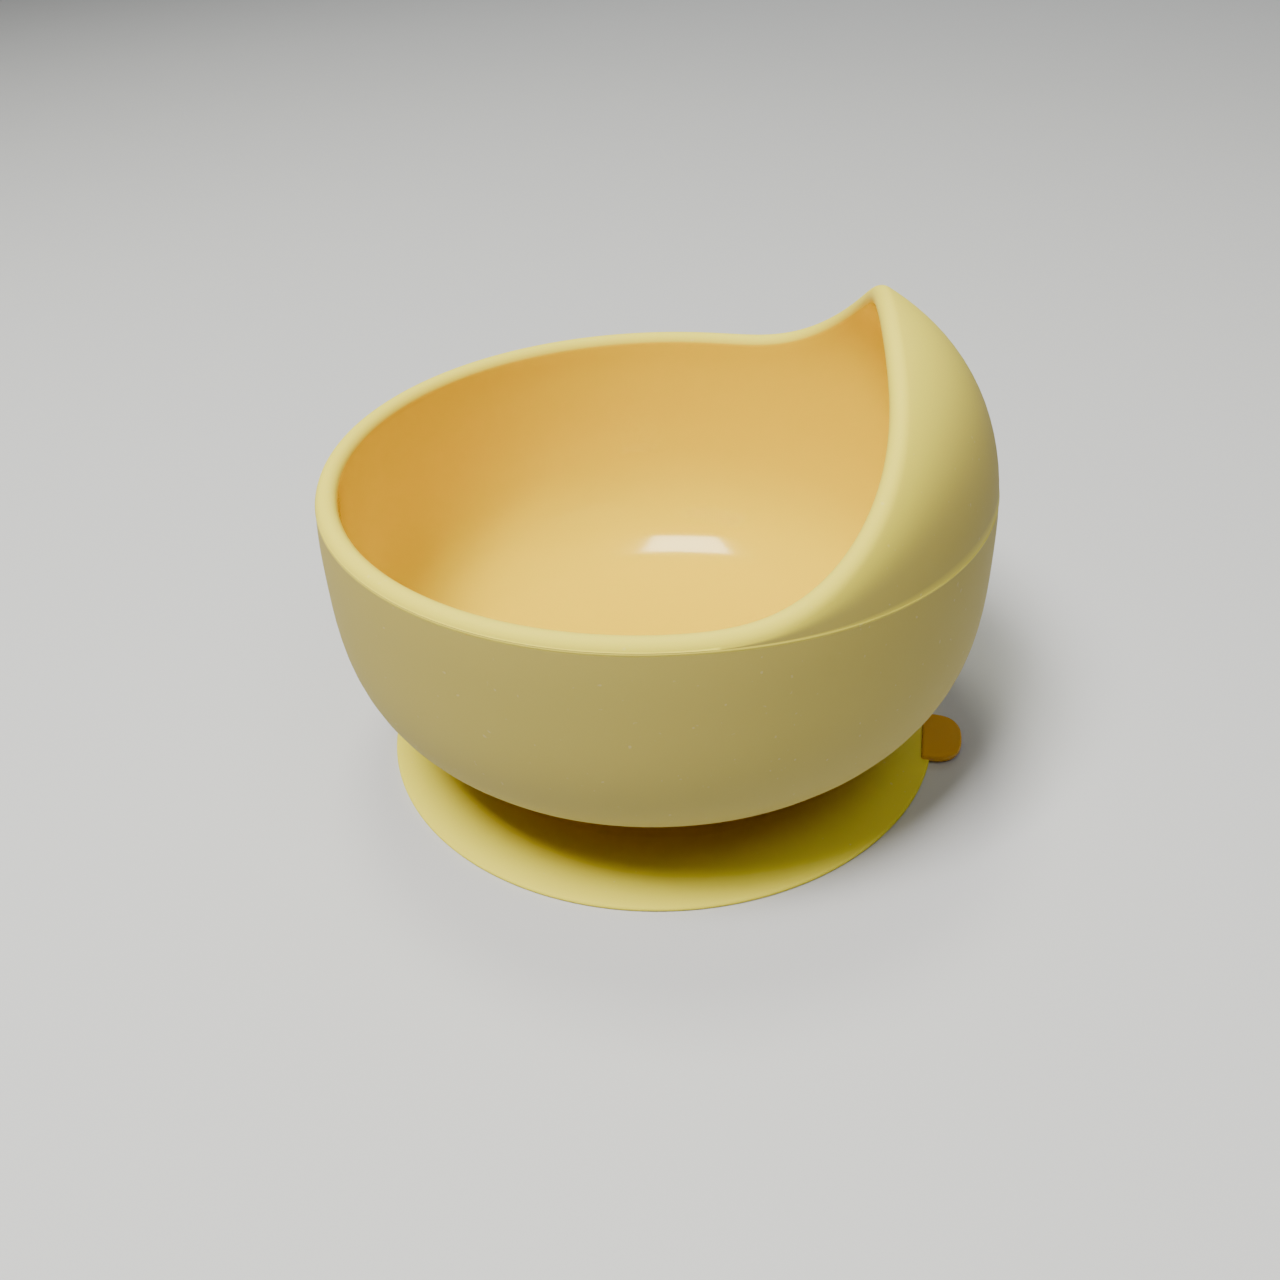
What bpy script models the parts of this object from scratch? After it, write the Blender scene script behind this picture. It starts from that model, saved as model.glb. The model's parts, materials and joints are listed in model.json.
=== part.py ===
"""Suction bowl: a soft one-piece feeding bowl with a scoop hood, standing on a suction cup.

The frame's origin is the centre of the base on the table, +Z is up, and +X points to the scoop
hood. The pull tab is a few degrees round from it. Lengths are given in millimetres and turned into
metres by MM.
"""

import math

import bmesh
import bpy
from mathutils import Matrix, Vector

MM = 0.001

# Bowl body: an egg-shaped turned wall
BOWL_RADIUS = 60.4
BELLY_HEIGHT = 47.6  # height of the widest level
LOWER_DEPTH = 40.6  # from the widest level to the outer floor
UPPER_DEPTH = 45.0  # from the widest level to where the full form would close
LOWER_FULLNESS = 3.2  # exponent of a superellipse: 2 is an ellipse, more is fuller
UPPER_FULLNESS = 2.6
WALL = 3.8
HOOD_TOP_ANGLE = 43.1  # direction in which the wall ends, seen from the middle of the form
SPIGOT_RADIUS = 8.0
SPIGOT_BOTTOM = 4.4

# Rim: level round the front, then swept up to the hood's edge
RIM_TOP = 59.6
HOOD_EDGE_X = 37.9
SWEEP_RADIUS = 21.8

# Suction base
GAP = 0.3
HUB_RADIUS = 17.7
HUB_BOTTOM = 2.8
HUB_TOP = 6.7
NECK_RADIUS = 15.2
SKIRT_RADIUS = 54.3
SKIRT_ROOT_TOP = 5.6
SKIRT_EDGE = 0.9  # thickness of the sealing edge
SKIRT_FLARE = 1.6  # exponent of the trumpet curve
SEAL_INNER_RADIUS = 48.0  # the flat sealing band lies outside this
VAULT_FLARE = 1.2

# Pull tab
TAB_HALF_WIDTH = 6.8
TAB_TIP_RADIUS = 59.9
TAB_TURN = -7.0  # degrees round from the hood: the suction base is a moulding of its own
TAB_BOTTOM = 0.3
TAB_THICKNESS = 1.5

BOWL_STEPS = 84
BASE_STEPS = 72

SILICONE = (0.80, 0.69, 0.33, 1.0)


def clear_scene():
    for item in list(bpy.data.objects):
        bpy.data.objects.remove(item)


def collection(name):
    made = bpy.data.collections.new(name)
    bpy.context.scene.collection.children.link(made)
    return made


def silicone(name, roughness):
    material = bpy.data.materials.new(name)
    material.use_nodes = True
    shader = material.node_tree.nodes["Principled BSDF"]
    shader.inputs["Base Color"].default_value = SILICONE
    shader.inputs["Roughness"].default_value = roughness
    shader.inputs["Metallic"].default_value = 0.0
    return material


def power(value, exponent):
    return math.copysign(abs(value) ** exponent, value)


def wall_point(angle, inset=0.0):
    """A point of the body's outline, inset along its normal.

    The angle is in degrees above level, seen from the middle of the form.
    """
    turn = math.radians(angle)
    depth, fullness = (UPPER_DEPTH, UPPER_FULLNESS) if angle > 0 else (LOWER_DEPTH, LOWER_FULLNESS)
    across = abs(math.cos(turn)) / BOWL_RADIUS
    up = abs(math.sin(turn)) / depth
    reach = (across**fullness + up**fullness) ** (-1 / fullness)
    r = reach * math.cos(turn)
    h = reach * math.sin(turn)
    slope_r = power(r / BOWL_RADIUS, fullness - 1) / BOWL_RADIUS
    slope_h = power(h / depth, fullness - 1) / depth
    size = math.hypot(slope_r, slope_h)
    return r - inset * slope_r / size, BELLY_HEIGHT + h - inset * slope_h / size


def spaced(start, end, count):
    return [start + (end - start) * i / (count - 1) for i in range(count)]


def turned(name, profile, steps, material, place):
    """A body turned about Z from a profile of (radius, height) in millimetres."""
    mesh = bpy.data.meshes.new(name)
    points = [(r * MM, 0.0, z * MM) for r, z in profile]
    mesh.from_pydata(points, [(i, i + 1) for i in range(len(points) - 1)], [])
    body = bpy.data.objects.new(name, mesh)
    place.objects.link(body)
    screw = body.modifiers.new("turn", "SCREW")
    screw.axis = "Z"
    screw.angle = math.tau
    screw.steps = steps
    screw.render_steps = steps
    screw.use_merge_vertices = True
    screw.merge_threshold = 0.00001
    screw.use_smooth_shade = True
    body.data.materials.append(material)
    return body


def flat_outline(name, outline, half_depth, place):
    """A closed outline in the XY plane, thickened by half_depth each way, as a welded mesh."""
    curve = bpy.data.curves.new(name, "CURVE")
    curve.dimensions = "2D"
    curve.fill_mode = "BOTH"
    curve.extrude = half_depth * MM
    spline = curve.splines.new("POLY")
    spline.points.add(len(outline) - 1)
    for point, (x, y) in zip(spline.points, outline):
        point.co = (x * MM, y * MM, 0.0, 1.0)
    spline.use_cyclic_u = True
    drawn = bpy.data.objects.new(name + "_outline", curve)
    place.objects.link(drawn)
    evaluated = drawn.evaluated_get(bpy.context.evaluated_depsgraph_get())
    mesh = bpy.data.meshes.new_from_object(evaluated)
    bpy.data.objects.remove(drawn)
    work = bmesh.new()
    work.from_mesh(mesh)
    bmesh.ops.remove_doubles(work, verts=work.verts, dist=0.00001)
    bmesh.ops.recalc_face_normals(work, faces=work.faces)
    work.to_mesh(mesh)
    work.free()
    solid = bpy.data.objects.new(name, mesh)
    place.objects.link(solid)
    return solid


def arc(centre, radius, start, end, count):
    cx, cy = centre
    turns = [math.radians(angle) for angle in spaced(start, end, count)]
    return [(cx + radius * math.cos(turn), cy + radius * math.sin(turn)) for turn in turns]


def rim_cutter(place):
    """Everything above the rim: a side outline swept straight across the bowl."""
    beyond = BOWL_RADIUS + 10
    ceiling = BELLY_HEIGHT + UPPER_DEPTH + 10
    sweep = arc((HOOD_EDGE_X - SWEEP_RADIUS, RIM_TOP + SWEEP_RADIUS), SWEEP_RADIUS, -90, 0, 10)
    outline = [(-beyond, ceiling), (-beyond, RIM_TOP), *sweep, (HOOD_EDGE_X, ceiling)]
    cutter = flat_outline("rim_cutter", outline, beyond, place)
    cutter.rotation_euler.x = math.pi / 2
    cutter.hide_render = True
    cutter.display_type = "WIRE"
    return cutter


def bowl_shell(material, parts, cutters):
    angles = [*spaced(-90, 0, 13), *spaced(0, HOOD_TOP_ANGLE, 7)[1:]]
    inner = [wall_point(angle, WALL) for angle in angles]
    outer = [wall_point(angle) for angle in reversed(angles[1:])]
    tip = wall_point(HOOD_TOP_ANGLE, WALL / 2)
    lean = math.degrees(math.atan2(outer[0][1] - tip[1], outer[0][0] - tip[0]))
    lip = arc(tip, WALL / 2, lean + 180, lean, 6)[1:-1]
    floor = wall_point(-90)[1]
    spigot = [(SPIGOT_RADIUS, floor), (SPIGOT_RADIUS, SPIGOT_BOTTOM), (0.0, SPIGOT_BOTTOM)]
    profile = [(0.0, inner[0][1]), *inner[1:], *lip, *outer, *spigot]
    shell = turned("bowl_shell", profile, BOWL_STEPS, material, parts)
    cut = shell.modifiers.new("rim", "BOOLEAN")
    cut.operation = "DIFFERENCE"
    cut.solver = "EXACT"
    cut.object = rim_cutter(cutters)
    return shell


def base_hub(material, parts):
    socket_radius = SPIGOT_RADIUS + GAP
    socket_floor = SPIGOT_BOTTOM - GAP
    profile = [
        (0.0, socket_floor),
        (socket_radius, socket_floor),
        (socket_radius, HUB_TOP),
        (NECK_RADIUS, HUB_TOP),
        (NECK_RADIUS + 0.6, HUB_TOP - 0.6),
        (HUB_RADIUS, SKIRT_ROOT_TOP),
        (HUB_RADIUS, HUB_BOTTOM),
        (0.0, HUB_BOTTOM),
    ]
    return turned("base_hub", profile, BASE_STEPS, material, parts)


def cup_skirt(material, parts):
    root = HUB_RADIUS + GAP
    top = []
    for r in spaced(root, SKIRT_RADIUS, 12):
        rise = (SKIRT_RADIUS - r) / (SKIRT_RADIUS - root)
        top.append((r, SKIRT_EDGE + (SKIRT_ROOT_TOP - SKIRT_EDGE) * rise**SKIRT_FLARE))
    vault = []
    for r in spaced(SEAL_INNER_RADIUS, root, 8):
        rise = (SEAL_INNER_RADIUS - r) / (SEAL_INNER_RADIUS - root)
        vault.append((r, HUB_BOTTOM * rise**VAULT_FLARE))
    edge = [(SKIRT_RADIUS, SKIRT_EDGE * 0.35), (SKIRT_RADIUS - SKIRT_EDGE * 0.4, 0.0)]
    profile = [*top, *edge, *vault, top[0]]
    return turned("cup_skirt", profile, BASE_STEPS, material, parts)


def pull_tab(material, parts):
    """A rounded tongue at the sealing edge, with its origin on the line where it folds up."""
    hinge = Vector((SKIRT_RADIUS + GAP, 0.0, TAB_BOTTOM + TAB_THICKNESS))
    half_angle = math.degrees(math.asin(TAB_HALF_WIDTH / hinge.x))
    root = arc((-hinge.x, 0.0), hinge.x, half_angle, -half_angle, 7)
    reach = TAB_TIP_RADIUS - hinge.x
    sides = []
    for angle in spaced(-90, 90, 15):
        turn = math.radians(angle)
        sides.append((reach * power(math.cos(turn), 0.8), TAB_HALF_WIDTH * power(math.sin(turn), 0.8)))
    tab = flat_outline("pull_tab", [*root, *sides[1:-1]], TAB_THICKNESS / 2, parts)
    tab.data.materials.append(material)
    for vertex in tab.data.vertices:
        vertex.co.z -= TAB_THICKNESS / 2 * MM  # the fold line lies along the tab's upper face
    turn = Matrix.Rotation(math.radians(TAB_TURN), 4, "Z")
    tab.data.transform(turn)
    tab.location = turn @ hinge * MM
    return tab


def main():
    clear_scene()
    parts = collection("suction_bowl")
    cutters = collection("cutters")
    bowl_shell(silicone("bowl_silicone", 0.35), parts, cutters)
    base = silicone("base_silicone", 0.5)
    base_hub(base, parts)
    cup_skirt(base, parts)
    pull_tab(base, parts)


main()
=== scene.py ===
"""Looks of the suction bowl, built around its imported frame.

The bowl is one soft silicone wall with a level front rim that sweeps up into a scoop hood. It
stands on a suction base of the same silicone: a hub, a thin trumpet-shaped skirt that seals to the
table, and a pull tab. Lengths are in metres, +Z is up and +X points to the hood. The tab is a few
degrees round from it.
"""

from __future__ import annotations

import json
import logging
import math
from dataclasses import dataclass
from enum import Enum
from typing import ClassVar, Iterable, Sequence

import bmesh
import bpy
from mathutils import Matrix, Vector
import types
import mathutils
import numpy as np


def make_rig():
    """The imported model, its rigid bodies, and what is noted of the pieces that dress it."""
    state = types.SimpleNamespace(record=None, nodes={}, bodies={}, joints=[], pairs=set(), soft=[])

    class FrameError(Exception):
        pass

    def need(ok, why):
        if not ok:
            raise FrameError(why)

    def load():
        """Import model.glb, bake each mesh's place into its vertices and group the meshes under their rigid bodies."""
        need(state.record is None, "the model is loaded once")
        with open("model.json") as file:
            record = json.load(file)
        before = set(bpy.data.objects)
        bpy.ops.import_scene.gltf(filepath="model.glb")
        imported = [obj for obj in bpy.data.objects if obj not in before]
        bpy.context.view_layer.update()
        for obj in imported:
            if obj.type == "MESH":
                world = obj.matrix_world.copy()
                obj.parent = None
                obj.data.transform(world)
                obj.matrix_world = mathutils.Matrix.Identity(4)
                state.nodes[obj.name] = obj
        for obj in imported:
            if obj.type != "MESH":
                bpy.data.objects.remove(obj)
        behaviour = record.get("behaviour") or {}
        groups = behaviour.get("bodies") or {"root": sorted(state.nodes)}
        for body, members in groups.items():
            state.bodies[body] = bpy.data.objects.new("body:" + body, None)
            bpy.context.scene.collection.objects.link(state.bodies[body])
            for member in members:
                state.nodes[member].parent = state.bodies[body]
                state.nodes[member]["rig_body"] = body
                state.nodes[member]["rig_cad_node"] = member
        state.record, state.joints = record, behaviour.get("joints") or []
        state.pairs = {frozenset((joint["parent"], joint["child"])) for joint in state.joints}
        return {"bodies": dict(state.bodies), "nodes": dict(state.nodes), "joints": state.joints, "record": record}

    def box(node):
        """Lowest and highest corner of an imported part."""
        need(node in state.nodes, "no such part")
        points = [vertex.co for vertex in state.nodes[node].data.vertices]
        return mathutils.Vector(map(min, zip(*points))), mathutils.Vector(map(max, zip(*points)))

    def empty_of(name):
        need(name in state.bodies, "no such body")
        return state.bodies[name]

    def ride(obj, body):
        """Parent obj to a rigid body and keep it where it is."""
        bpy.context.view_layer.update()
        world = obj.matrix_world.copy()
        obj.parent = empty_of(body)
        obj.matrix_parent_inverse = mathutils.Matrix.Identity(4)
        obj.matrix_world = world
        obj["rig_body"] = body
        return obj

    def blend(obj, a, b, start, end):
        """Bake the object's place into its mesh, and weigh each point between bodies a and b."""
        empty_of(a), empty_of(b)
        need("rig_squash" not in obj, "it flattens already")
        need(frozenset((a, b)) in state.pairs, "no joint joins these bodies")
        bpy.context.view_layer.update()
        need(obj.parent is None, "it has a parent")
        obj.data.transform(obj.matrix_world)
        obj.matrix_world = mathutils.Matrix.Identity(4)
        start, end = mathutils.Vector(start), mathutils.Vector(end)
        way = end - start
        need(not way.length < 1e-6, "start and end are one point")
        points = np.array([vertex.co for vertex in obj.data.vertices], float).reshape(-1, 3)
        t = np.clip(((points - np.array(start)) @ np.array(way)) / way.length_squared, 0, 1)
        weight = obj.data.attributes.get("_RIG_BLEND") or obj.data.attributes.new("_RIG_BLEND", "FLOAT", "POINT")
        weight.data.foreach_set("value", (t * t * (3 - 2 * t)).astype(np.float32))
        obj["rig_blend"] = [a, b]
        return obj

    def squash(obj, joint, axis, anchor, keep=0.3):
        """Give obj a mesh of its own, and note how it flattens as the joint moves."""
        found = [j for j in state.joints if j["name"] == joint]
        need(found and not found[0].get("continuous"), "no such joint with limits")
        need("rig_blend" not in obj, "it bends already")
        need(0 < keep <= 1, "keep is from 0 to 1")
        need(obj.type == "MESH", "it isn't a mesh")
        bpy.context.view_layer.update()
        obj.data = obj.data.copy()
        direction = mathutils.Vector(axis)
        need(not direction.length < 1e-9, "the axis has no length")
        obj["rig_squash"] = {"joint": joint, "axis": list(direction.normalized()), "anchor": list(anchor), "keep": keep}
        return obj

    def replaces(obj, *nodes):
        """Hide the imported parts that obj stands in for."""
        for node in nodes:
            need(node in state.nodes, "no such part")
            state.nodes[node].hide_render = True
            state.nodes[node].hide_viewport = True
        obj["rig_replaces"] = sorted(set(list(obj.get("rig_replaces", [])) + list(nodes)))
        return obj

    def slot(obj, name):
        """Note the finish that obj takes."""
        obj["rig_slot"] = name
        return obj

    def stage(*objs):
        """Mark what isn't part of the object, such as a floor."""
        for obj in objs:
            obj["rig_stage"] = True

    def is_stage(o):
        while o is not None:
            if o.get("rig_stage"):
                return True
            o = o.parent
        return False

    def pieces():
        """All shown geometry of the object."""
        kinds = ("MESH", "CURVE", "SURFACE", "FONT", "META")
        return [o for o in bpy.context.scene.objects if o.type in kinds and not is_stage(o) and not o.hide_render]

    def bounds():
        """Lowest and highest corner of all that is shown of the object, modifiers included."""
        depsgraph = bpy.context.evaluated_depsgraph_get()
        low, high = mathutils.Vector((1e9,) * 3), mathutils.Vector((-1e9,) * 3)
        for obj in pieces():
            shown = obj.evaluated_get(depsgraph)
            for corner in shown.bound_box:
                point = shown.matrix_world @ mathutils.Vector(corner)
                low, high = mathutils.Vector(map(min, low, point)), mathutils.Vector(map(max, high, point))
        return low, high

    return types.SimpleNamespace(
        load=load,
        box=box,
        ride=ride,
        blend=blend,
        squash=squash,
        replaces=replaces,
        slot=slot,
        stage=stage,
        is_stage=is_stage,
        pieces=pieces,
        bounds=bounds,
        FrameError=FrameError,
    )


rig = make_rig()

LOG = logging.getLogger("suction_bowl")
SIZE_FILE = "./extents.json"
MM = 0.001
SEARCH_STEPS = 40  # halvings of a search, which leave no error that matters

Profile = list[tuple[float, float]]
Colour = tuple[float, float, float]


class Region(Enum):
    """Parts of the bowl's outline, in the order that its profile runs."""

    BELLY = "from the middle of the foot to the parting line"
    FLASH = "across the parting line's raised flash"
    SHOULDER = "from the parting line to the lip"
    LIP = "over the round lip"
    INSIDE = "from the lip to the middle of the floor"


class Body(Enum):
    """The moving bodies of the frame."""

    BASE = "suction_base"
    BOWL = "bowl"
    TAB = "tab"


def lerp(low: float, high: float, share: float) -> float:
    """Return the value that lies share of the way from low to high."""
    return low + (high - low) * share


def spread(low: float, high: float, count: int) -> list[float]:
    """Return count values spaced evenly from low to high, both included."""
    return [lerp(low, high, i / (count - 1)) for i in range(count)]


def smooth(share: float) -> float:
    """Return share, kept between 0 and 1, eased at both ends."""
    share = min(1.0, max(0.0, share))
    return share * share * (3.0 - 2.0 * share)


# ---------------------------------------------------------------- shader building


class Sock:
    """A node socket that takes part in Python arithmetic by adding Math nodes."""

    def __init__(self, graph: "Graph", socket: bpy.types.NodeSocket) -> None:
        """Wrap an output socket.

        Args:
            graph: The material graph that owns the socket.
            socket: The output socket.
        """
        self.graph = graph
        self.socket = socket

    def _maths(self, operation: str, first: "Sock | float", second: "Sock | float") -> "Sock":
        """Return the result of a Math node on two values."""
        return self.graph.node("ShaderNodeMath", {"operation": operation}, {0: first, 1: second})

    def __add__(self, other: "Sock | float") -> "Sock":
        """Return self + other."""
        return self._maths("ADD", self, other)

    def __radd__(self, other: float) -> "Sock":
        """Return other + self."""
        return self._maths("ADD", other, self)

    def __rsub__(self, other: float) -> "Sock":
        """Return other - self."""
        return self._maths("SUBTRACT", other, self)

    def __mul__(self, other: "Sock | float") -> "Sock":
        """Return self * other."""
        return self._maths("MULTIPLY", self, other)


class Graph:
    """The node graph of one material."""

    def __init__(self, name: str) -> None:
        """Start a material with only its output.

        Args:
            name: The material's name.
        """
        self.material = bpy.data.materials.new(name)
        self.material.use_nodes = True
        self.nodes = self.material.node_tree.nodes
        self.links = self.material.node_tree.links
        self.nodes.clear()

    def node(
        self,
        kind: str,
        settings: dict[str, object] | None = None,
        inputs: dict[str | int, object] | None = None,
        output: str | int = 0,
    ) -> Sock:
        """Add a node, set it up and feed its sockets.

        Args:
            kind: The node's type.
            settings: Attributes set first, such as an operation; "stops" fills a colour ramp.
            inputs: Values or Socks by socket name or number.
            output: The output socket to return.

        Returns:
            The chosen output.
        """
        made = self.nodes.new(kind)
        for key, value in (settings or {}).items():
            if key == "stops":
                self._fill_ramp(made.color_ramp, value)
            else:
                setattr(made, key, value)
        for key, value in (inputs or {}).items():
            if isinstance(value, Sock):
                self.links.new(value.socket, made.inputs[key])
            else:
                made.inputs[key].default_value = value
        return Sock(self, made.outputs[output]) if made.outputs else Sock(self, None)

    @staticmethod
    def _fill_ramp(ramp: bpy.types.ColorRamp, stops: Sequence[tuple[float, float]]) -> None:
        """Give a ramp its grey stops, as (position, grey) pairs."""
        while len(ramp.elements) > len(stops):
            ramp.elements.remove(ramp.elements[-1])
        while len(ramp.elements) < len(stops):
            ramp.elements.new(1.0)
        for element, (position, grey) in zip(ramp.elements, stops):
            element.position = position
            element.color = (grey, grey, grey, 1.0)

    def place(self) -> Sock:
        """Return the point on the piece, in metres."""
        return self.node("ShaderNodeTexCoord", output="Object")

    def noise(self, scale: float, detail: float, roughness: float = 0.5) -> Sock:
        """Return a noise value from 0 to 1.

        Args:
            scale: How many blotches there are in a metre.
            detail: The number of finer octaves.
            roughness: How strong the finer octaves are.
        """
        inputs = {"Vector": self.place(), "Scale": scale, "Detail": detail, "Roughness": roughness}
        return self.node("ShaderNodeTexNoise", {"noise_dimensions": "3D"}, inputs)

    def ramp(self, value: Sock, stops: Sequence[tuple[float, float]]) -> Sock:
        """Return value passed through grey stops, as (position, grey) pairs."""
        return self.node("ShaderNodeValToRGB", {"stops": stops}, {"Fac": value})

    def mix(self, share: Sock | float, low: Sock | Colour, high: Sock | Colour) -> Sock:
        """Return a colour between low and high.

        Args:
            share: 0 gives low and 1 gives high.
            low: The first colour, or the Sock that gives it.
            high: The second colour, or the Sock that gives it.
        """
        ends = [end if isinstance(end, Sock) else (*end, 1.0) for end in (low, high)]
        inputs = {0: share, 6: ends[0], 7: ends[1]}
        return self.node("ShaderNodeMix", {"data_type": "RGBA"}, inputs, output=2)

    def attribute(self, name: str) -> Sock:
        """Return a number kept on the piece's points."""
        return self.node("ShaderNodeAttribute", {"attribute_name": name}, output="Fac")

    def bump(self, height: Sock, strength: float, distance: float) -> Sock:
        """Return the normal of a bumpy surface.

        Args:
            height: The height, from 0 to 1.
            strength: The share of the bump that shows.
            distance: The height in metres that 1 stands for.
        """
        inputs = {"Height": height, "Strength": strength, "Distance": distance}
        return self.node("ShaderNodeBump", {}, inputs)

    def surface(self, inputs: dict[str, object]) -> bpy.types.Material:
        """End the graph in a Principled BSDF.

        Args:
            inputs: Values or Socks by the shader's socket names.

        Returns:
            The finished material.
        """
        shader = self.node("ShaderNodeBsdfPrincipled", {}, inputs)
        self.node("ShaderNodeOutputMaterial", {}, {"Surface": shader})
        return self.material


@dataclass(frozen=True)
class SiliconeFinish:
    """Moulded silicone: matte where the mould was blasted, glossy where it was polished.

    The piece's "polish" attribute is 1 on polished surface and 0 on matte surface. Besides the gloss, it swaps in
    the polished colour: painted bounce light, brighter and deeper, inside the bowl, and painted shade on the base
    and the tab. Its "edge" attribute is 1 where painted light makes the matte surface paler: on the lip, the top
    of the shoulder, the parting line's flash and the skirt's outer part. The matte colour is darker as painted
    shade on the outer walls, and less saturated as a blasted finish is. The scales give how many blotches there
    are in a metre, and each roughness is a (lowest, reach) pair.
    """

    SPECK_STOPS: ClassVar[Profile] = [(0.0, 0.0), (0.735, 0.0), (0.80, 1.0)]

    name: str
    # Painted light and shade: three tones of one silicone. matte is darkened as painted shade on the outer walls, edge
    # is paler as painted light, and polished is brighter and deeper as painted bounce light inside the bowl; the base's
    # polished colour is painted shade.
    matte: Colour = (0.45, 0.365, 0.080)
    edge: Colour = (0.88, 0.76, 0.07)
    polished: Colour = (0.88, 0.61, 0.002)
    cloud_scale: float = 28.0
    cloud_shift: float = 0.06
    speck_scale: float = 900.0
    speck_cover: float = 0.12
    dust: Colour = (0.85, 0.82, 0.70)
    smear_scale: float = 45.0
    matte_roughness: tuple[float, float] = (0.57, 0.10)
    polished_roughness: tuple[float, float] = (0.10, 0.06)
    grain_scale: float = 5200.0
    swell_scale: float = 60.0
    swell_share: float = 0.25
    grain_depth: float = 0.03 * MM
    coat: float = 0.6
    subsurface: float = 0.12
    scatter: float = 2.5 * MM

    def material(self) -> bpy.types.Material:
        """Return the finish as a material."""
        graph = Graph(self.name)
        polish = graph.attribute("polish")
        clouds = graph.noise(self.cloud_scale, 3.0)
        # Painted light: the edge attribute paints the matte surface paler, and the polish attribute swaps in the
        # polished colour as painted bounce light or painted shade.
        outside = graph.mix(graph.attribute("edge"), self.matte, self.edge)
        plain = graph.mix(polish, outside, self.polished)
        specks = graph.ramp(graph.noise(self.speck_scale, 1.0), self.SPECK_STOPS)
        dust = specks * (1.0 - polish) * self.speck_cover
        deeper = graph.mix(self.cloud_shift, plain, (0.0, 0.0, 0.0))
        colour = graph.mix(dust, graph.mix(clouds, deeper, plain), self.dust)
        smears = graph.noise(self.smear_scale, 4.0, 0.6)
        matte = self.matte_roughness[0] + smears * self.matte_roughness[1]
        glossy = self.polished_roughness[0] + smears * self.polished_roughness[1]
        roughness = matte * (1.0 - polish) + glossy * polish
        grain = graph.noise(self.grain_scale, 2.0, 0.55) * (1.0 - polish)
        swell = graph.noise(self.swell_scale, 1.0) * self.swell_share
        return graph.surface(
            {
                "Base Color": colour,
                "Roughness": roughness,
                "IOR": 1.43,
                "Specular IOR Level": 0.35,
                "Coat Weight": polish * self.coat,
                "Coat Roughness": 0.07,
                "Subsurface Weight": self.subsurface,
                "Subsurface Radius": (1.0, 0.55, 0.18),
                "Subsurface Scale": self.scatter,
                "Normal": graph.bump(grain + swell, 0.5, self.grain_depth),
            }
        )


@dataclass(frozen=True)
class TableFinish:
    """Plain pale laminate."""

    name: str
    colour: Colour = (0.62, 0.625, 0.63)
    cloud_shade: float = 0.97
    roughness: tuple[float, float] = (0.42, 0.08)

    def material(self) -> bpy.types.Material:
        """Return the finish as a material."""
        graph = Graph(self.name)
        clouds = graph.noise(3.0, 2.0)
        shade = tuple(value * self.cloud_shade for value in self.colour)
        base, reach = self.roughness
        roughness = base + graph.noise(40.0, 3.0) * reach
        colour = graph.mix(clouds, shade, self.colour)
        return graph.surface({"Base Color": colour, "Roughness": roughness})


# ---------------------------------------------------------------- mesh building


def start_profile(work: bmesh.types.BMesh, points: Iterable[tuple[float, float]]) -> list:
    """Draw a profile of (radius, height) points as a chain of edges in the XZ plane.

    Args:
        work: The mesh to draw in.
        points: The profile's points, in order.

    Returns:
        The new vertices and edges.
    """
    verts = [work.verts.new((r, 0.0, z)) for r, z in points]
    edges = [work.edges.new(pair) for pair in zip(verts, verts[1:])]
    return verts + edges


def spin_full(work: bmesh.types.BMesh, geometry: list, steps: int) -> None:
    """Spin a profile once round Z, close it and turn its faces outwards.

    Args:
        work: The mesh that holds the profile.
        geometry: The profile's vertices and edges.
        steps: The number of columns round the turn.
    """
    bmesh.ops.spin(
        work,
        geom=geometry,
        cent=(0.0, 0.0, 0.0),
        axis=(0.0, 0.0, 1.0),
        angle=math.tau,
        steps=steps,
        use_merge=True,
    )
    bmesh.ops.remove_doubles(work, verts=work.verts, dist=1e-7)
    bmesh.ops.recalc_face_normals(work, faces=work.faces)


def finish_piece(
    work: bmesh.types.BMesh,
    name: str,
    material: bpy.types.Material,
    slot: str,
    replaced: Sequence[str],
) -> bpy.types.Object:
    """Turn a bmesh into a smooth-shaded piece that stands for some CAD nodes.

    Args:
        work: The finished mesh, freed here.
        name: The piece's name.
        material: Its material.
        slot: The record's material slot.
        replaced: The CAD nodes it stands for.

    Returns:
        The new object, at the origin.
    """
    for face in work.faces:
        face.smooth = True
    mesh = bpy.data.meshes.new(name)
    work.to_mesh(mesh)
    work.free()
    mesh.materials.append(material)
    piece = bpy.data.objects.new(name, mesh)
    bpy.context.scene.collection.objects.link(piece)
    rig.replaces(piece, *replaced)
    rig.slot(piece, slot)
    LOG.info("%s: %d faces, replaces %s", name, len(mesh.polygons), ", ".join(replaced))
    return piece


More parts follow.
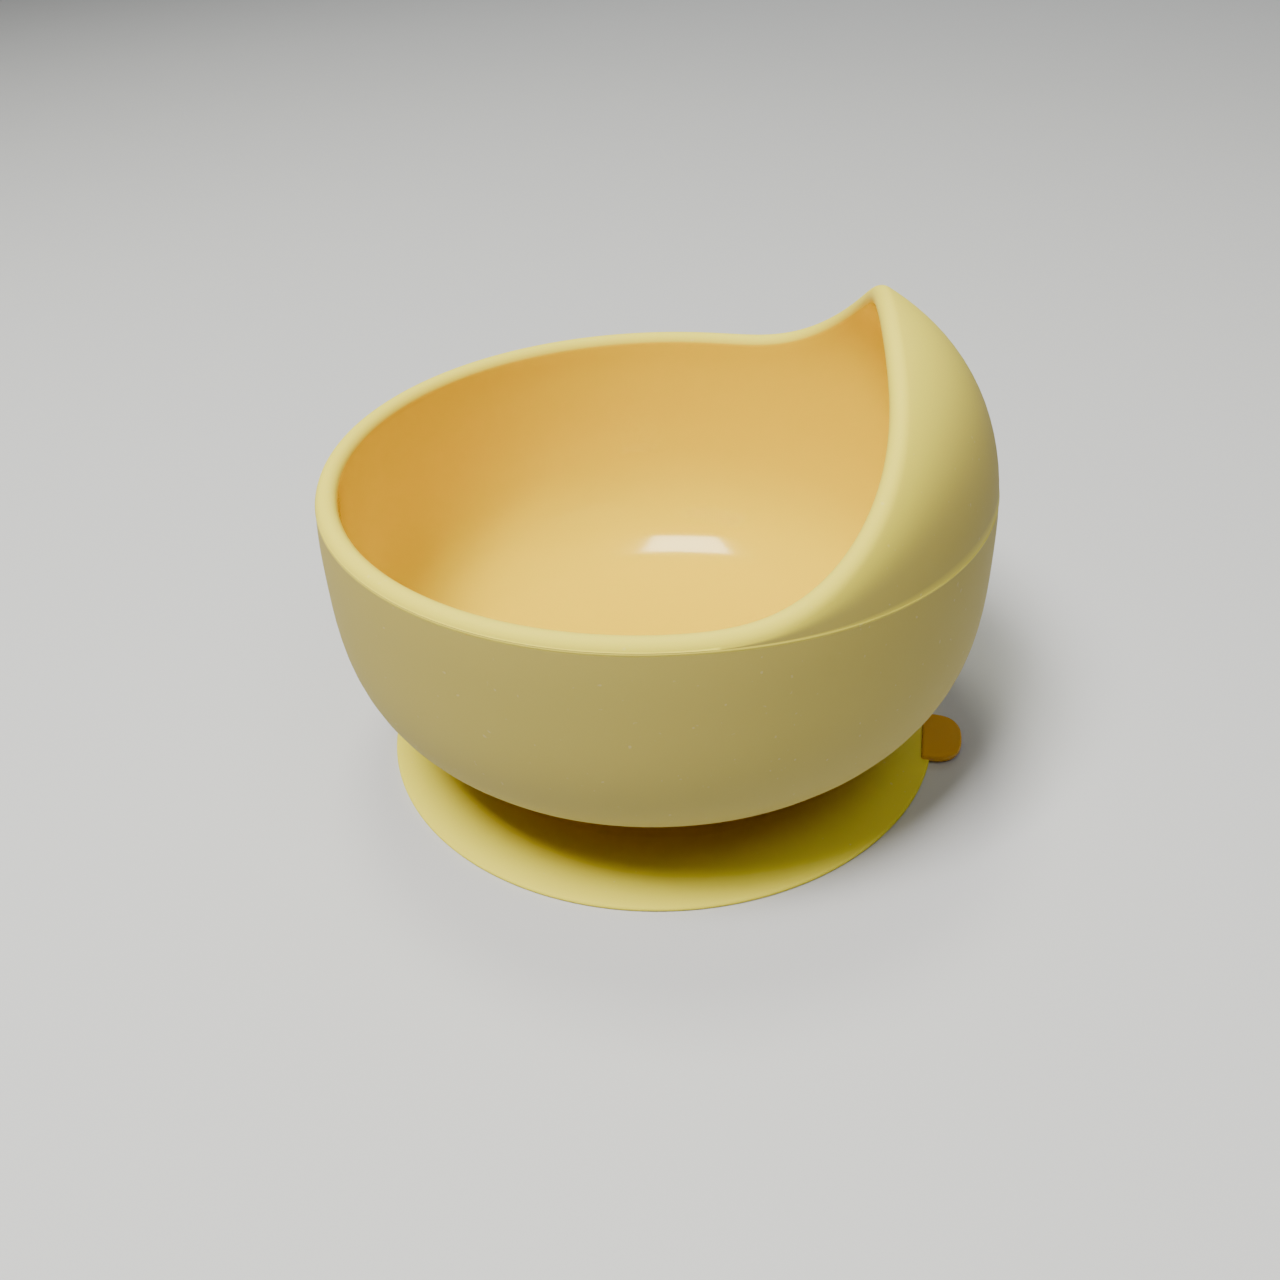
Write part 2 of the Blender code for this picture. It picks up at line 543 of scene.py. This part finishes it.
@dataclass
class BowlBody:
    """The bowl's wall: a turned egg form, open at a rim that sweeps up into the hood.

    FLASH holds the section of the parting line's flash: heights from its middle, in metres, with
    the share of its full height there. Its outer pairs keep the wall beside it true.
    """

    FLASH: ClassVar[Profile] = [
        (-0.40 * MM, 0.0),
        (-0.14 * MM, 0.0),
        (-0.08 * MM, 0.8),
        (0.0, 1.0),
        (0.08 * MM, 0.8),
        (0.14 * MM, 0.0),
        (0.26 * MM, 0.0),
    ]

    radius: float
    belly_height: float = 47.6 * MM
    lower_depth: float = 40.6 * MM
    upper_depth: float = 45.0 * MM
    lower_fullness: float = 3.2
    upper_fullness: float = 2.6
    wall: float = 3.8 * MM
    rim_height: float = 57.7 * MM
    hood_edge: float = 39.7 * MM
    sweep: float = 23.7 * MM
    parting_height: float = 57.9 * MM
    parting_dip: float = 1.5 * MM
    flash_height: float = 0.07 * MM
    # Painted highlight: the flash's share of the paler, lit tone.
    flash_painted_light: float = 0.6
    polish_from: float = 0.86
    polish_run: float = 0.06
    softenings: int = 24
    columns: int = 240
    belly_rows: int = 40
    shoulder_rows: int = 18
    lip_rows: int = 14
    inner_rows: int = 44

    @classmethod
    def from_frame(cls) -> "BowlBody":
        """Return the bowl with its radius taken from the frame."""
        low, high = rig.box("bowl_shell")
        return cls(radius=(high.x - low.x) / 2)

    def outline(self, angle: float, inset: float = 0.0) -> tuple[Vector, Vector]:
        """Return a point of the outline and its outward normal, as (radius, height) vectors.

        Args:
            angle: The direction of the point from the middle of the form, in radians above level.
            inset: The depth of the point below the outer surface.
        """
        above = angle > 0
        depth = self.upper_depth if above else self.lower_depth
        fullness = self.upper_fullness if above else self.lower_fullness
        across, up = math.cos(angle) / self.radius, math.sin(angle) / depth
        reach = (abs(across) ** fullness + abs(up) ** fullness) ** (-1 / fullness)
        point = Vector((reach * math.cos(angle), reach * math.sin(angle)))
        slope_r = abs(point.x / self.radius) ** (fullness - 1) / self.radius
        slope_h = abs(point.y / depth) ** (fullness - 1) / depth
        normal = Vector((slope_r, math.copysign(slope_h, angle))).normalized()
        return point + Vector((0.0, self.belly_height)) - normal * inset, normal

    def angle_at(self, height: float) -> float:
        """Return the outline angle at which the outer surface reaches a height."""
        low, high = -math.pi / 2, math.pi / 2
        for _ in range(SEARCH_STEPS):
            middle = (low + high) / 2
            if self.outline(middle)[0].y < height:
                low = middle
            else:
                high = middle
        return (low + high) / 2

    def rim_cut(self, x: float) -> float:
        """Return the height of the rim's middle line over a place along the bowl's length."""
        start = self.hood_edge - self.sweep
        if x <= start:
            return self.rim_height
        if x >= self.hood_edge:
            return math.inf
        return self.rim_height + self.sweep - math.sqrt(self.sweep**2 - (x - start) ** 2)

    def rim_angles(self) -> list[float]:
        """Return the outline angle of the rim's middle line for each column, softened along the rim."""
        angles = []
        for i in range(self.columns):
            turn = math.tau * i / self.columns
            low, high = 0.0, math.pi / 2
            for _ in range(SEARCH_STEPS):
                middle = (low + high) / 2
                point = self.outline(middle, self.wall / 2)[0]
                if point.y < self.rim_cut(point.x * math.cos(turn)):
                    low = middle
                else:
                    high = middle
            angles.append((low + high) / 2)
        for _ in range(self.softenings):
            after = angles[1:] + angles[:1]
            angles = [(angles[i - 1] + 2 * angles[i] + after[i]) / 4 for i in range(self.columns)]
        return angles

    def rows(self) -> list[tuple[Region, float]]:
        """Return each profile row as its region and its share of the way through it."""
        sizes = {
            Region.BELLY: self.belly_rows,
            Region.FLASH: len(self.FLASH),
            Region.SHOULDER: self.shoulder_rows,
            Region.LIP: self.lip_rows,
            Region.INSIDE: self.inner_rows,
        }
        rows = [(Region.BELLY, 0.0)]
        for region, size in sizes.items():
            rows += [(region, share) for share in spread(0.0, 1.0, size)[1:]]
        return rows

    def painted_light_share(self, region: Region, share: float) -> float:
        """Return how far a place on the wall is painted paler: painted light on the lip and the top of the shoulder,
        and a painted highlight on the flash.
        """
        if region is Region.SHOULDER:
            return smooth(share * 1.5 - 0.5)
        return {Region.FLASH: self.flash_painted_light, Region.LIP: 1.0}.get(region, 0.0)

    def gloss_and_painted_light(self, region: Region, share: float) -> float:
        """Return how polished a place is: the inside is, up to just under the lip. The same share swaps in the
        brighter, deeper colour of painted bounce light inside the bowl.
        """
        if region is Region.LIP:
            return smooth((share - self.polish_from) / self.polish_run)
        return 1.0 if region is Region.INSIDE else 0.0

    def build(self, material: bpy.types.Material) -> bpy.types.Object:
        """Model the bowl.

        Args:
            material: The silicone.

        Returns:
            The piece, riding on the bowl's body.
        """
        work = bmesh.new()
        row_mark = work.verts.layers.int.new("row")
        polish = work.verts.layers.float.new("polish")
        edge = work.verts.layers.float.new("edge")
        rows = self.rows()
        count = len(rows)
        # A plain stand-in profile: the rows' own places follow once it is spun.
        points = [(self.radius * math.sin(math.pi * i / (count - 1)), -MM * i) for i in range(count)]
        geometry = start_profile(work, points)
        for i, vert in enumerate(geometry[:count]):
            vert[row_mark] = i
        spin_full(work, geometry, self.columns)
        self._place_points(work, row_mark, rows)
        for vert in work.verts:
            region, share = rows[vert[row_mark]]
            # Painted light: the lip and flash are painted paler, and the polished inside takes the brighter, deeper
            # colour of painted bounce light.
            vert[edge] = self.painted_light_share(region, share)
            vert[polish] = self.gloss_and_painted_light(region, share)
        bmesh.ops.recalc_face_normals(work, faces=work.faces)
        piece = finish_piece(work, "bowl_wall", material, "bowl_silicone", ["bowl_shell"])
        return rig.ride(piece, Body.BOWL.value)

    def _place_points(
        self,
        work: bmesh.types.BMesh,
        row_mark: bmesh.types.BMLayerItem,
        rows: list[tuple[Region, float]],
    ) -> None:
        """Move every point of the spun grid to its place on the wall.

        Args:
            work: The spun mesh.
            row_mark: The layer that holds each point's row.
            rows: Each row's region and its share of the way through it.
        """
        rim = self.rim_angles()
        centres = [self._rim_centre(rim, i) for i in range(self.columns)]
        flash = [self._flash_angles(i) for i in range(self.columns)]
        for vert in work.verts:
            region, share = rows[vert[row_mark]]
            turn = math.atan2(vert.co.y, vert.co.x) if vert.co.xy.length > 1e-9 else 0.0
            column = round(turn / math.tau * self.columns) % self.columns
            if region is Region.LIP:
                vert.co = self._lip_point(centres, column, share)
                continue
            ends = {
                Region.BELLY: (-math.pi / 2, flash[column][0]),
                Region.SHOULDER: (flash[column][-1], rim[column]),
                Region.INSIDE: (rim[column], -math.pi / 2),
            }
            if region is Region.FLASH:
                step = round(share * (len(self.FLASH) - 1))
                point = self.outline(flash[column][step], -self.flash_height * self.FLASH[step][1])[0]
            else:
                inset = self.wall if region is Region.INSIDE else 0.0
                point = self.outline(lerp(*ends[region], share), inset)[0]
            vert.co = Vector((point.x * math.cos(turn), point.x * math.sin(turn), point.y))

    def _flash_angles(self, column: int) -> list[float]:
        """Return the outline angles of the flash's section at a column; it dips under the hood."""
        x = self.radius * math.cos(math.tau * column / self.columns)
        middle = self.parting_height - self.parting_dip * smooth((x / self.radius - 0.1) / 0.8)
        return [self.angle_at(middle + height) for height, _ in self.FLASH]

    def _rim_centre(self, rim: list[float], column: int) -> tuple[Vector, Vector]:
        """Return the middle of the lip at a column, and the wall's outward normal there."""
        turn = math.tau * column / self.columns
        point, normal = self.outline(rim[column], self.wall / 2)
        across = Vector((math.cos(turn), math.sin(turn), 0.0))
        up = Vector((0.0, 0.0, 1.0))
        return across * point.x + up * point.y, across * normal.x + up * normal.y

    def _lip_point(self, centres: list[tuple[Vector, Vector]], column: int, share: float) -> Vector:
        """Return a point of the full-round lip: share 0 is at the outside and 1 at the inside."""
        centre, normal = centres[column]
        count = len(centres)
        along = (centres[(column + 1) % count][0] - centres[column - 1][0]).normalized()
        away = normal.cross(along).normalized()
        if away.z < 0:
            away.negate()
        turn = math.pi * share
        return centre + (normal * math.cos(turn) + away * math.sin(turn)) * (self.wall / 2)


@dataclass
class SuctionBase:
    """The hub and the flexible skirt, moulded in one.

    The zones of painted light and of gloss with painted shade are (start, run) pairs, as shares of the radius: the
    skirt's outer part is painted paler where it stands out of the bowl's shade, and the glossy inner part takes the
    deeper orange of painted shade under the bowl.
    """

    JOINT_GAP: ClassVar[float] = 0.35 * MM  # closes the gap between the hub and the bowl

    radius: float
    neck_top: float
    root_radius: float
    root_height: float
    vault_height: float
    neck_radius: float = 15.2 * MM
    edge: float = 0.9 * MM
    flare: float = 1.6
    vault_flare: float = 1.2
    seal_inner: float = 48.0 * MM
    travel: float = 2.0 * MM
    fillet_bend: float = 0.55
    # Painted light on the skirt's outer part, and gloss with painted shade on its inner part and underside.
    painted_light_zone: tuple[float, float] = (0.6, 0.3)
    gloss_and_shade_zone: tuple[float, float] = (0.62, 0.30)
    top_gloss_and_shade: float = 0.9
    under_gloss_and_shade: float = 0.8
    columns: int = 240

    @classmethod
    def from_frame(cls) -> "SuctionBase":
        """Return the base with its main sizes taken from the frame."""
        hub_low, hub_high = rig.box("base_hub")
        skirt_low, skirt_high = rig.box("cup_skirt")
        return cls(
            radius=(skirt_high.x - skirt_low.x) / 2,
            neck_top=hub_high.z + cls.JOINT_GAP,
            root_radius=(hub_high.x - hub_low.x) / 2,
            root_height=skirt_high.z,
            vault_height=hub_low.z,
        )

    def top_height(self, r: float) -> float:
        """Return the height of the skirt's upper surface at a radius."""
        rise = (self.radius - r) / (self.radius - self.root_radius)
        return self.edge + (self.root_height - self.edge) * rise**self.flare

    def profile(self) -> Profile:
        """Return the base's profile from the middle of its top to the middle of its underside."""
        neck = [(0.0, self.neck_top), (self.neck_radius, self.neck_top)]
        fillet = []
        for share in spread(0.0, 1.0, 8)[1:-1]:
            r = lerp(self.neck_radius, self.root_radius, share)
            fillet.append((r, lerp(self.neck_top, self.root_height, share**self.fillet_bend)))
        lip = self.radius - self.edge / 2
        top = [(r, self.top_height(r)) for r in spread(self.root_radius, lip, 30)]
        edge = []
        for angle in spread(math.pi / 2, -math.pi / 2, 9)[1:]:
            out, up = math.cos(angle) * self.edge / 2, math.sin(angle) * self.edge / 2
            edge.append((lip + out, self.edge / 2 + up))
        vault = []
        for r in spread(self.seal_inner, self.root_radius, 16):
            rise = (self.seal_inner - r) / (self.seal_inner - self.root_radius)
            vault.append((r, self.vault_height * rise**self.vault_flare))
        roof = [(self.root_radius * share, self.vault_height) for share in (0.7, 0.35, 0.0)]
        return neck + fillet + top + edge + vault + roof

    def zone(self, zone: tuple[float, float], r: float) -> float:
        """Return how far a radius lies into a zone, from 0 inside it to 1 past it."""
        start, run = zone
        return smooth((r / self.radius - start) / run)

    def gloss_and_painted_light(self, place: Vector) -> float:
        """Return how polished a place is: the underside and the top's inner part are. These also take the base's deeper
        orange polished colour, painted shade under the bowl.
        """
        r = place.xy.length
        under = place.z < self.top_height(min(r, self.radius)) * 0.45
        if under and r < self.radius - self.edge:
            return self.under_gloss_and_shade
        return self.top_gloss_and_shade * (1.0 - self.zone(self.gloss_and_shade_zone, r))

    def build(self, material: bpy.types.Material) -> bpy.types.Object:
        """Model the base.

        Args:
            material: The silicone.

        Returns:
            The piece, which flattens as the bowl is pressed down.
        """
        work = bmesh.new()
        polish = work.verts.layers.float.new("polish")
        edge = work.verts.layers.float.new("edge")
        spin_full(work, start_profile(work, self.profile()), self.columns)
        for vert in work.verts:
            # Painted light on the skirt's outer part, out of the bowl's shade; painted shade, with the gloss, on its
            # inner part and underside.
            vert[edge] = self.zone(self.painted_light_zone, vert.co.xy.length)
            vert[polish] = self.gloss_and_painted_light(vert.co)
        piece = finish_piece(work, "suction_cup", material, "base_silicone", ["base_hub", "cup_skirt"])
        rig.ride(piece, Body.BASE.value)
        pressed = 1.0 - self.travel / self.neck_top
        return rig.squash(piece, "cup_press", (0, 0, 1), (0, 0, 0), keep=pressed)


@dataclass
class PullTab:
    """The tongue at the skirt's edge."""

    root: float
    tip: float
    half_width: float
    bottom: float
    top: float
    turn: float
    overlap: float = 2.0 * MM
    squareness: float = 0.8
    soft_edge: float = 0.55 * MM
    # Gloss, and with it the base's deeper orange polished colour: painted shade from the hood.
    gloss_and_painted_light: float = 0.9
    bend_from: float = -0.2 * MM
    bend_to: float = 1.6 * MM

    @classmethod
    def from_frame(cls) -> "PullTab":
        """Return the tab with its sizes taken from the frame."""
        low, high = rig.box("pull_tab")
        _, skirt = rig.box("cup_skirt")
        middle = (low + high) / 2
        turn = math.atan2(middle.y, middle.x)
        half_width = (high.y - low.y) / 2 / math.cos(turn)
        return cls(skirt.x, math.hypot(high.x, middle.y), half_width, low.z, high.z, turn)

    def outline(self) -> list[Vector]:
        """Return the tab's outline at its lower face, running round from the root."""
        start = self.root - self.overlap
        points = [Vector((start, side * self.half_width, self.bottom)) for side in (1, -1)]
        for angle in spread(-math.pi / 2, math.pi / 2, 25):
            across = math.copysign(abs(math.sin(angle)) ** self.squareness, angle) * self.half_width
            out = abs(math.cos(angle)) ** self.squareness * (self.tip - self.root)
            points.append(Vector((self.root + out, across, self.bottom)))
        return points

    def build(self, material: bpy.types.Material) -> bpy.types.Object:
        """Model the tab.

        Args:
            material: The silicone.

        Returns:
            The piece, bending from the base into the tab's body.
        """
        work = bmesh.new()
        polish = work.verts.layers.float.new("polish")
        face = work.faces.new([work.verts.new(point) for point in self.outline()])
        raised = bmesh.ops.extrude_face_region(work, geom=[face])["geom"]
        lifted = [item for item in raised if isinstance(item, bmesh.types.BMVert)]
        bmesh.ops.translate(work, verts=lifted, vec=(0.0, 0.0, self.top - self.bottom))
        bmesh.ops.recalc_face_normals(work, faces=work.faces)
        rims = [edge for edge in work.edges if edge.calc_face_angle(0.0) > 1.0]
        bmesh.ops.bevel(
            work,
            geom=rims,
            offset=self.soft_edge,
            segments=4,
            profile=0.5,
            affect="EDGES",
            material=-1,
        )
        for x in spread(self.root - self.overlap / 2, self.tip - 1.0 * MM, 9):
            everything = list(work.verts) + list(work.edges) + list(work.faces)
            bmesh.ops.bisect_plane(work, geom=everything, plane_co=(x, 0, 0), plane_no=(1, 0, 0))
        # Painted shade: the whole tongue takes the deeper orange polished colour, with its gloss.
        for vert in work.verts:
            vert[polish] = self.gloss_and_painted_light
        turned = Matrix.Rotation(self.turn, 4, "Z")
        bmesh.ops.transform(work, matrix=turned, verts=work.verts)
        piece = finish_piece(work, "pull_tongue", material, "base_silicone", ["pull_tab"])
        ends = (turned @ Vector((self.root + out, 0.0, 0.0)) for out in (self.bend_from, self.bend_to))
        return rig.blend(piece, Body.BASE.value, Body.TAB.value, *ends)


# ---------------------------------------------------------------- the set


@dataclass(frozen=True)
class SoftLight:
    """A rectangular light that faces a point on the bowl."""

    name: str
    place: tuple[float, float, float]
    size: tuple[float, float]
    power: float
    colour: Colour = (1.0, 1.0, 1.0)
    mirrored: bool = True
    target: tuple[float, float, float] = (0.0, 0.0, 0.04)

    def build(self) -> None:
        """Put the light in the scene."""
        data = bpy.data.lights.new(self.name, "AREA")
        data.shape = "RECTANGLE"
        data.size, data.size_y = self.size
        data.energy = self.power
        data.color = self.colour
        light = bpy.data.objects.new(self.name, data)
        light.location = self.place
        light.visible_glossy = self.mirrored
        aim = Vector(self.target) - Vector(self.place)
        light.rotation_euler = aim.to_track_quat("-Z", "Y").to_euler()
        bpy.context.scene.collection.objects.link(light)


@dataclass
class Studio:
    """The table, the lights and the camera."""

    LIGHTS: ClassVar[Sequence[SoftLight]] = (
        SoftLight("key", (-0.31, -0.37, 1.11), (0.38, 0.38), 25.5, (1.0, 0.985, 0.96), mirrored=False),
        SoftLight("right_fill", (0.42, -0.38, 1.02), (0.50, 0.50), 2.2, mirrored=False),
        SoftLight(
            "back_fill",
            (0.25, 1.20, 0.90),
            (1.2, 0.7),
            5.0,
            (0.95, 0.98, 1.0),
            mirrored=False,
            target=(0.25, 1.20, 0.0),
        ),
        SoftLight(
            "near_panel",
            (-0.10, 0.22, 1.0),
            (0.21, 0.25),
            4.2,
            (1.0, 1.0, 0.82),
            target=(-0.10, 0.22, 0.0),
        ),
    )

    camera_distance: float = 199.9 * MM
    camera_height: float = 158.2 * MM
    camera_turn: float = math.radians(5.25)
    aim: tuple[float, float, float] = (-4.0 * MM, 0.0, 18.8 * MM)
    roll: float = -0.043
    lens: float = 34.68
    sensor: float = 36.0
    table_size: float = 3.0
    room_colour: Colour = (0.93, 0.96, 1.0)
    room_strength: float = 0.035

    def build_table(self) -> None:
        """Lay a plain pale table under the object."""
        work = bmesh.new()
        bmesh.ops.create_grid(work, x_segments=2, y_segments=2, size=self.table_size / 2)
        mesh = bpy.data.meshes.new("table")
        work.to_mesh(mesh)
        work.free()
        mesh.materials.append(TableFinish("pale_table").material())
        table = bpy.data.objects.new("table", mesh)
        bpy.context.scene.collection.objects.link(table)
        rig.stage(table)

    def build_lights(self) -> None:
        """Light the set with soft boxes and a pale room."""
        world = bpy.data.worlds.new("room")
        world.use_nodes = True
        background = world.node_tree.nodes["Background"]
        background.inputs["Color"].default_value = (*self.room_colour, 1.0)
        background.inputs["Strength"].default_value = self.room_strength
        bpy.context.scene.world = world
        for light in self.LIGHTS:
            light.build()

    def build_camera(self) -> None:
        """Place the camera a little to the hood's side of square-on, looking down at the bowl."""
        data = bpy.data.cameras.new("camera")
        data.lens = self.lens
        data.sensor_width = self.sensor
        data.clip_start = 0.01
        camera = bpy.data.objects.new("camera", data)
        turn = Matrix.Rotation(self.camera_turn, 4, "Z")
        place = turn @ Vector((0.0, -self.camera_distance, self.camera_height))
        aim = turn @ Vector(self.aim)
        look = (aim - place).to_track_quat("-Z", "Y").to_matrix().to_4x4()
        camera.matrix_world = Matrix.Translation(place) @ look @ Matrix.Rotation(self.roll, 4, "Z")
        bpy.context.scene.collection.objects.link(camera)
        bpy.context.scene.camera = camera

    def build(self) -> None:
        """Build the whole set."""
        self.build_table()
        self.build_lights()
        self.build_camera()


def write_sizes(before: tuple[Vector, Vector], after: tuple[Vector, Vector]) -> None:
    """Write the CAD box and the visual model's box as plain lists.

    Args:
        before: The box straight after the frame was loaded.
        after: The box of what is shown at the end.
    """
    sizes = {
        "cad": [list(corner) for corner in before],
        "visual": [list(corner) for corner in after],
    }
    with open(SIZE_FILE, "w") as file:
        json.dump(sizes, file, indent=1)


def main() -> None:
    """Build the bowl, its base and its tab around the frame, then the set."""
    logging.basicConfig(level=logging.INFO, format="%(name)s: %(message)s")
    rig.load()
    cad_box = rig.bounds()
    bowl_silicone = SiliconeFinish("bowl_silicone").material()
    # Painted shade: the base's polished colour is a deeper orange than the bowl's, for the shade under the bowl and on
    # the tab.
    base_silicone = SiliconeFinish("base_silicone", polished=(0.76, 0.37, 0.003)).material()
    BowlBody.from_frame().build(bowl_silicone)
    SuctionBase.from_frame().build(base_silicone)
    PullTab.from_frame().build(base_silicone)
    Studio().build()
    write_sizes(cad_box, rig.bounds())


if __name__ == "__main__":
    main()
